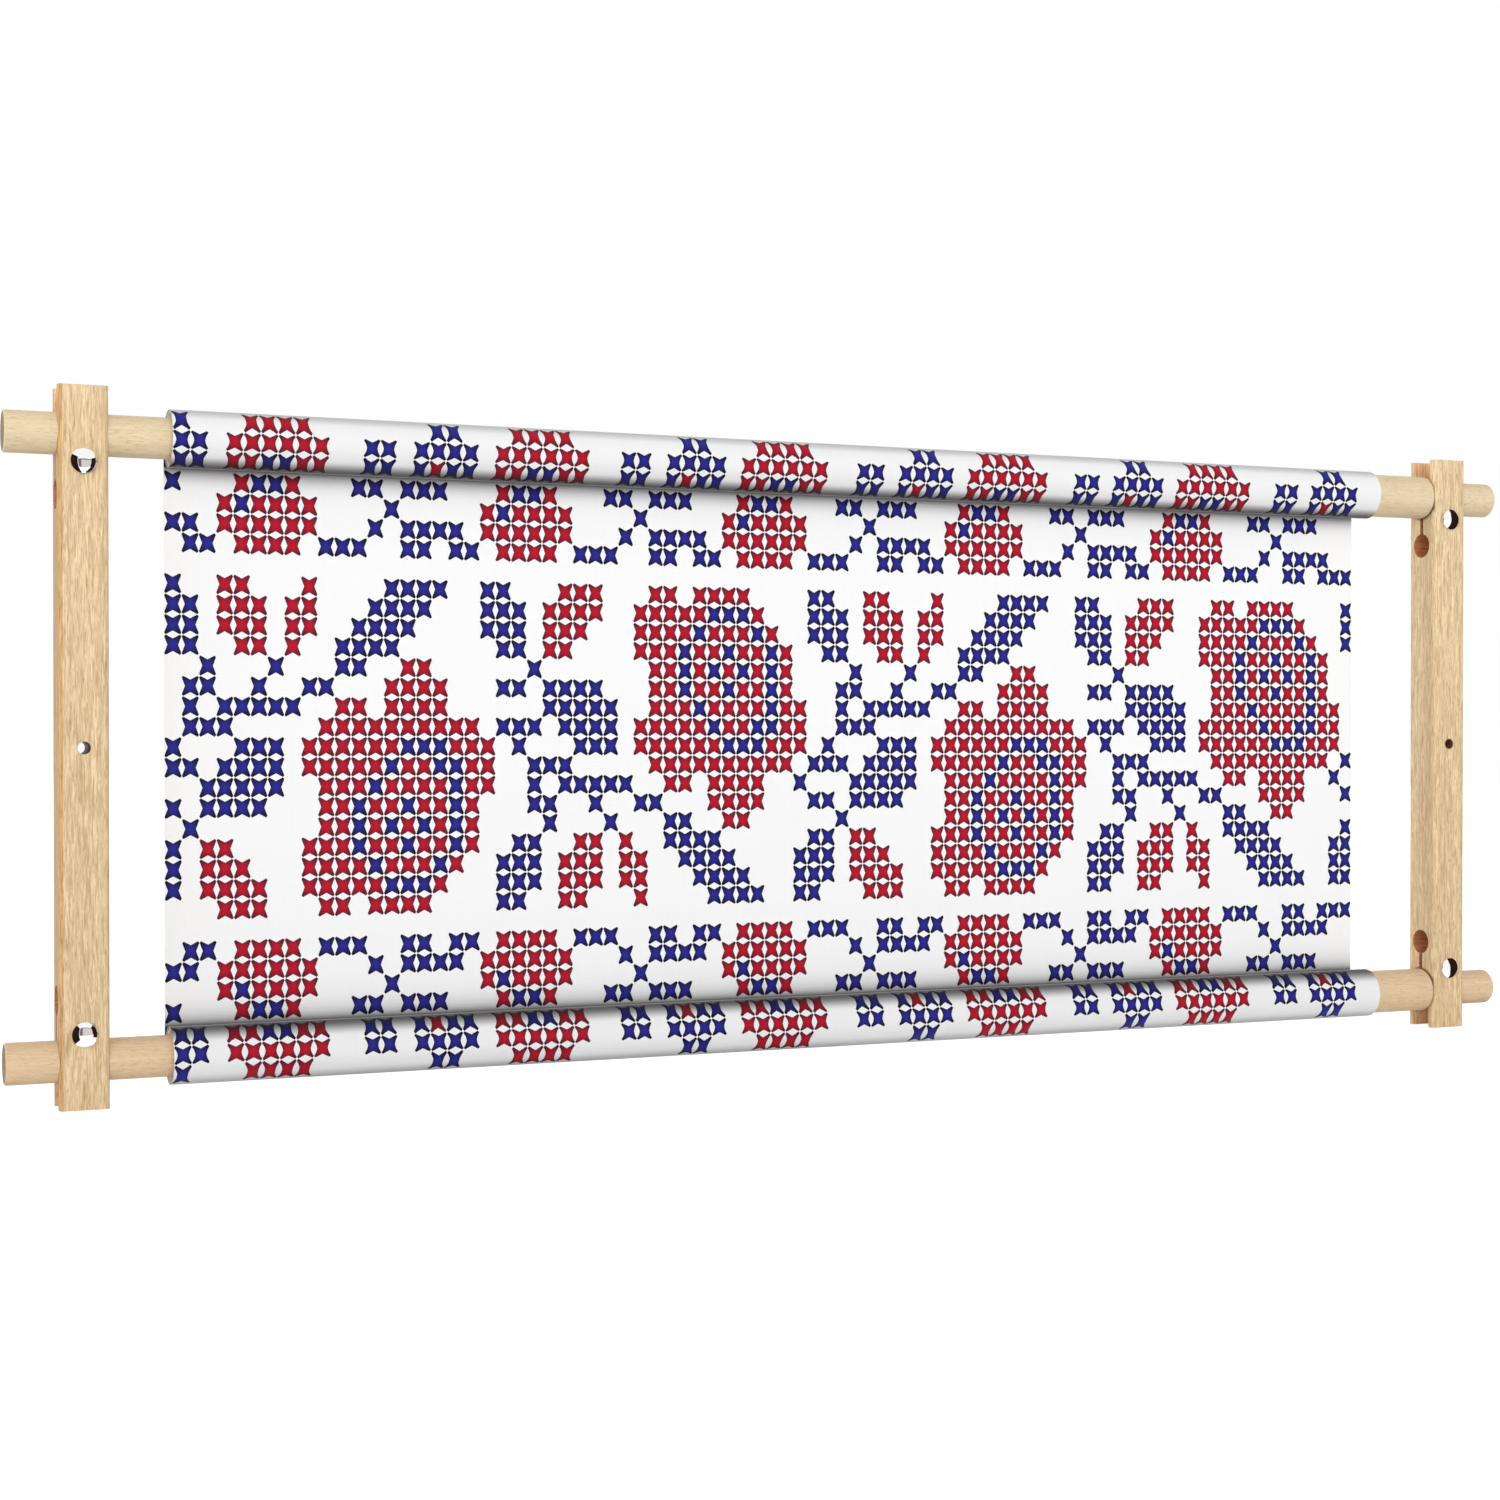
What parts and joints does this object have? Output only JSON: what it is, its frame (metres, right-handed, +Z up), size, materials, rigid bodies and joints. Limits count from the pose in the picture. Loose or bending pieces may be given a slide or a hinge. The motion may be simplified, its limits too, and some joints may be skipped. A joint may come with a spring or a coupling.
{
  "type": "embroidery scroll frame",
  "caption": "Flat embroidery scroll frame: wooden side bars with split-end clamps carry turned rollers, with a cross-stitched cloth wound on them and held flat in between.",
  "frame": {"origin": "middle of the bounding box, at the height of the side bars' lower ends", "axes": "+X along the rollers, from the left bar to the right bar seen from the worked face; +Y from the worked face to the back, where the wing nuts are; +Z up along the side bars"},
  "size_m": [0.7624, 0.0344, 0.3],
  "materials": {
    "bar_wood": "sanded beech, unvarnished",
    "roller_wood": "turned beech, unvarnished",
    "evenweave_cloth": "white evenweave cotton with red and blue stitches",
    "webbing": "woven cotton tape",
    "polished_steel": "chromed, mirror bright",
    "plated_steel": "zinc plated"
  },
  "bodies": {
    "right_bar": {"right_side_bar": "bar_wood", "upper_right_clamp_bolt": "polished_steel", "lower_right_clamp_bolt": "polished_steel", "upper_right_washer": "plated_steel", "lower_right_washer": "plated_steel"},
    "cloth": {"cloth_panel": "evenweave_cloth"},
    "upper_roller": {"upper_roller": "roller_wood", "upper_cloth_roll": "evenweave_cloth", "upper_webbing_tape": "webbing"},
    "lower_roller": {"lower_roller": "roller_wood", "lower_cloth_roll": "evenweave_cloth", "lower_webbing_tape": "webbing"},
    "left_bar": {"left_side_bar": "bar_wood", "upper_left_clamp_bolt": "polished_steel", "lower_left_clamp_bolt": "polished_steel", "upper_left_washer": "plated_steel", "lower_left_washer": "plated_steel"},
    "upper_right_wing_nut": {"upper_right_wing_nut": "plated_steel"},
    "lower_right_wing_nut": {"lower_right_wing_nut": "plated_steel"},
    "upper_left_wing_nut": {"upper_left_wing_nut": "plated_steel"},
    "lower_left_wing_nut": {"lower_left_wing_nut": "plated_steel"}
  },
  "joints": [
    {"name": "right_bar_slide", "type": "slide", "parent": "right_bar", "child": "cloth", "axis": [-1, 0, 0], "range_m": [0, 0.021]},
    {"name": "left_bar_slide", "type": "slide", "parent": "cloth", "child": "left_bar", "axis": [-1, 0, 0], "range_m": [-0.025, 0.021]},
    {"name": "lower_roller_turn", "type": "hinge", "parent": "cloth", "child": "lower_roller", "pos_m": [0, -0.0034, 0.0195], "axis": [1, 0, 0], "continuous": true},
    {"name": "upper_roller_turn", "type": "hinge", "parent": "cloth", "child": "upper_roller", "pos_m": [0, -0.0034, 0.2805], "axis": [1, 0, 0], "continuous": true},
    {"name": "upper_right_nut_turn", "type": "hinge", "parent": "right_bar", "child": "upper_right_wing_nut", "pos_m": [0.35, 0.012, 0.2686], "axis": [0, 1, 0], "continuous": true},
    {"name": "lower_right_nut_turn", "type": "hinge", "parent": "right_bar", "child": "lower_right_wing_nut", "pos_m": [0.35, 0.012, 0.0314], "axis": [0, 1, 0], "continuous": true},
    {"name": "upper_left_nut_turn", "type": "hinge", "parent": "left_bar", "child": "upper_left_wing_nut", "pos_m": [-0.35, 0.012, 0.2686], "axis": [0, 1, 0], "continuous": true},
    {"name": "lower_left_nut_turn", "type": "hinge", "parent": "left_bar", "child": "lower_left_wing_nut", "pos_m": [-0.35, 0.012, 0.0314], "axis": [0, 1, 0], "continuous": true}
  ],
  "couplings": [
    {"joint": "upper_roller_turn", "follows": "lower_roller_turn", "ratio": 1}
  ]
}
